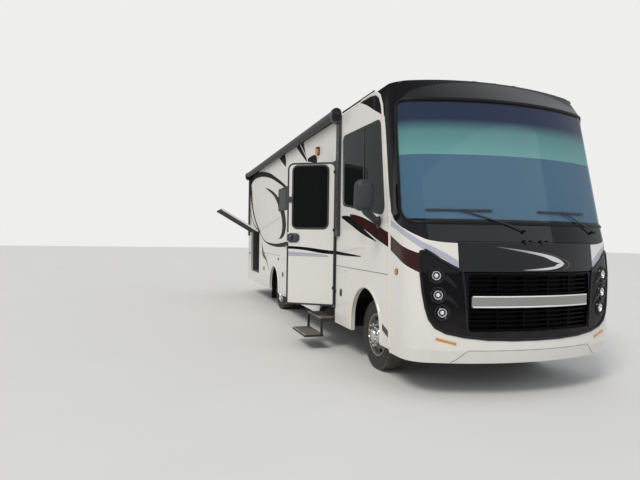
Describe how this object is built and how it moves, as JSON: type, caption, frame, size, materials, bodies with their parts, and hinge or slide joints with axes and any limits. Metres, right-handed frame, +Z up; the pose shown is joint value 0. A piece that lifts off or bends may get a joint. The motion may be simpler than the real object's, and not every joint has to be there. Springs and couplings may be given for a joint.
{
  "type": "motorhome",
  "caption": "Bus-fronted motorhome with bowed windshield, open entry door with steps, raised side hatch, closed slide room, awning, luggage doors and dual rear wheels.",
  "frame": {"origin": "middle of the bounding box at ground level, with the door and hatch as they stand open", "axes": "+Z up, the front faces -Y, the kerb side with the entry door is -X"},
  "size_m": [3.9246, 10.4858, 3.73],
  "materials": {
    "cream": "glossy cream gel coat",
    "black": "gloss black",
    "steel": "black chassis paint",
    "tyre": "dark rubber",
    "wheel": "bright stainless cover",
    "glass": "dark tinted glass",
    "screen": "tinted windshield",
    "lens": "clear lamp lens",
    "amber": "amber lens",
    "red": "red lens",
    "chrome": "polished chrome",
    "trim": "black trim",
    "seat": "woven seat cloth",
    "inside": "beige lining",
    "alu": "bare aluminium",
    "cast": "rough cast iron",
    "tank": "black moulded tank",
    "awning": "dark charcoal awning case"
  },
  "bodies": {
    "coach": {"roof_panel": "cream", "side_wall_kerb": "cream", "side_wall_street": "cream", "skirt_kerb": "cream", "skirt_street": "cream", "rear_cap": "cream", "front_cap": "cream", "nose_panel": "cream", "front_bumper": "cream", "windshield": "screen", "grille": "trim", "grille_bar": "chrome", "headlamps": "lens", "marker_lamps": "amber", "side_glass": "glass", "window_frames": "trim", "floor_deck": "inside", "chassis_frame": "steel", "front_axle": "steel", "rear_axle": "steel", "engine_block": "cast", "radiator": "alu", "driveline": "cast", "underfloor_tanks": "tank", "exhaust": "steel", "luggage_boxes": "steel", "bay_liner": "inside", "awning": "awning", "mirrors": "trim", "wipers": "trim", "entry_steps": "steel", "roof_units": "cream", "rear_ladder": "alu", "tail_lamps": "red", "rear_bumper": "steel", "dashboard": "inside", "cab_seats": "seat", "overhead_cabinet": "inside"},
    "wheel_front_kerb": {"tyre_front_kerb": "tyre", "rim_front_kerb": "wheel"},
    "wheel_front_street": {"tyre_front_street": "tyre", "rim_front_street": "wheel"},
    "wheels_rear_kerb": {"tyres_rear_kerb": "tyre", "rims_rear_kerb": "wheel"},
    "wheels_rear_street": {"tyres_rear_street": "tyre", "rims_rear_street": "wheel"},
    "steering_knuckle_kerb": {"knuckle_kerb": "steel"},
    "steering_knuckle_street": {"knuckle_street": "steel"},
    "steering_tie_rod": {"tie_rod": "steel"},
    "door": {"entry_door": "cream", "entry_door_glass": "glass"},
    "hatch": {"bay_hatch": "cream"},
    "hood_lid": {"hood": "black"},
    "slide": {"slide_room": "cream", "slide_glass": "glass"},
    "luggage_door_kerb_front_body": {"luggage_door_kerb_front": "cream"},
    "luggage_door_kerb_middle_body": {"luggage_door_kerb_middle": "cream"},
    "luggage_door_kerb_rear_body": {"luggage_door_kerb_rear": "cream"},
    "luggage_door_street_front_body": {"luggage_door_street_front": "cream"},
    "luggage_door_street_rear_body": {"luggage_door_street_rear": "cream"}
  },
  "joints": [
    {"name": "steer_kerb", "type": "hinge", "parent": "coach", "child": "steering_knuckle_kerb", "pos_m": [-0.55765, -3.768, 0.419], "axis": [0, 0, 1], "range_deg": [-35, 35]},
    {"name": "steer_street", "type": "hinge", "parent": "coach", "child": "steering_knuckle_street", "pos_m": [1.14235, -3.768, 0.419], "axis": [0, 0, 1], "range_deg": [-35, 35]},
    {"name": "tie_rod_pivot", "type": "hinge", "parent": "steering_knuckle_kerb", "child": "steering_tie_rod", "pos_m": [-0.55765, -3.558, 0.347], "axis": [0, 0, 1], "range_deg": [-35, 35]},
    {"name": "spin_front_kerb", "type": "hinge", "parent": "steering_knuckle_kerb", "child": "wheel_front_kerb", "pos_m": [-0.71815, -3.768, 0.419], "axis": [1, 0, 0], "continuous": true},
    {"name": "spin_front_street", "type": "hinge", "parent": "steering_knuckle_street", "child": "wheel_front_street", "pos_m": [1.30285, -3.768, 0.419], "axis": [1, 0, 0], "continuous": true},
    {"name": "spin_rear_kerb", "type": "hinge", "parent": "coach", "child": "wheels_rear_kerb", "pos_m": [-0.71815, 1.515, 0.419], "axis": [1, 0, 0], "continuous": true},
    {"name": "spin_rear_street", "type": "hinge", "parent": "coach", "child": "wheels_rear_street", "pos_m": [1.30285, 1.515, 0.419], "axis": [1, 0, 0], "continuous": true},
    {"name": "entry_door_hinge", "type": "hinge", "parent": "coach", "child": "door", "pos_m": [-0.99965, -2.668, 1.5], "axis": [0, 0, 1], "range_deg": [-57.5, 37]},
    {"name": "bay_hatch_hinge", "type": "hinge", "parent": "coach", "child": "hatch", "pos_m": [-0.99365, 3.947, 1.749], "axis": [0, 1, 0], "range_deg": [-120, 0]},
    {"name": "hood_hinge", "type": "hinge", "parent": "coach", "child": "hood_lid", "pos_m": [0.29235, -5.199, 1.584], "axis": [-1, 0, 0], "range_deg": [0, 60]},
    {"name": "slide_room_travel", "type": "slide", "parent": "coach", "child": "slide", "axis": [1, 0, 0], "range_m": [0, 0.6]},
    {"name": "luggage_door_kerb_front_hinge", "type": "hinge", "parent": "coach", "child": "luggage_door_kerb_front_body", "pos_m": [-0.99365, -2.9305, 1.164], "axis": [0, 1, 0], "range_deg": [0, 85]},
    {"name": "luggage_door_kerb_middle_hinge", "type": "hinge", "parent": "coach", "child": "luggage_door_kerb_middle_body", "pos_m": [-0.99365, 0.087, 1.164], "axis": [0, 1, 0], "range_deg": [0, 85]},
    {"name": "luggage_door_kerb_rear_hinge", "type": "hinge", "parent": "coach", "child": "luggage_door_kerb_rear_body", "pos_m": [-0.99365, 2.662, 1.164], "axis": [0, 1, 0], "range_deg": [0, 85]},
    {"name": "luggage_door_street_front_hinge", "type": "hinge", "parent": "coach", "child": "luggage_door_street_front_body", "pos_m": [1.57835, -1.563, 1.164], "axis": [0, -1, 0], "range_deg": [0, 85]},
    {"name": "luggage_door_street_rear_hinge", "type": "hinge", "parent": "coach", "child": "luggage_door_street_rear_body", "pos_m": [1.57835, 3.432, 1.164], "axis": [0, -1, 0], "range_deg": [0, 85]}
  ],
  "couplings": [
    {"joint": "steer_street", "follows": "steer_kerb", "ratio": 1},
    {"joint": "tie_rod_pivot", "follows": "steer_kerb", "ratio": -1}
  ]
}
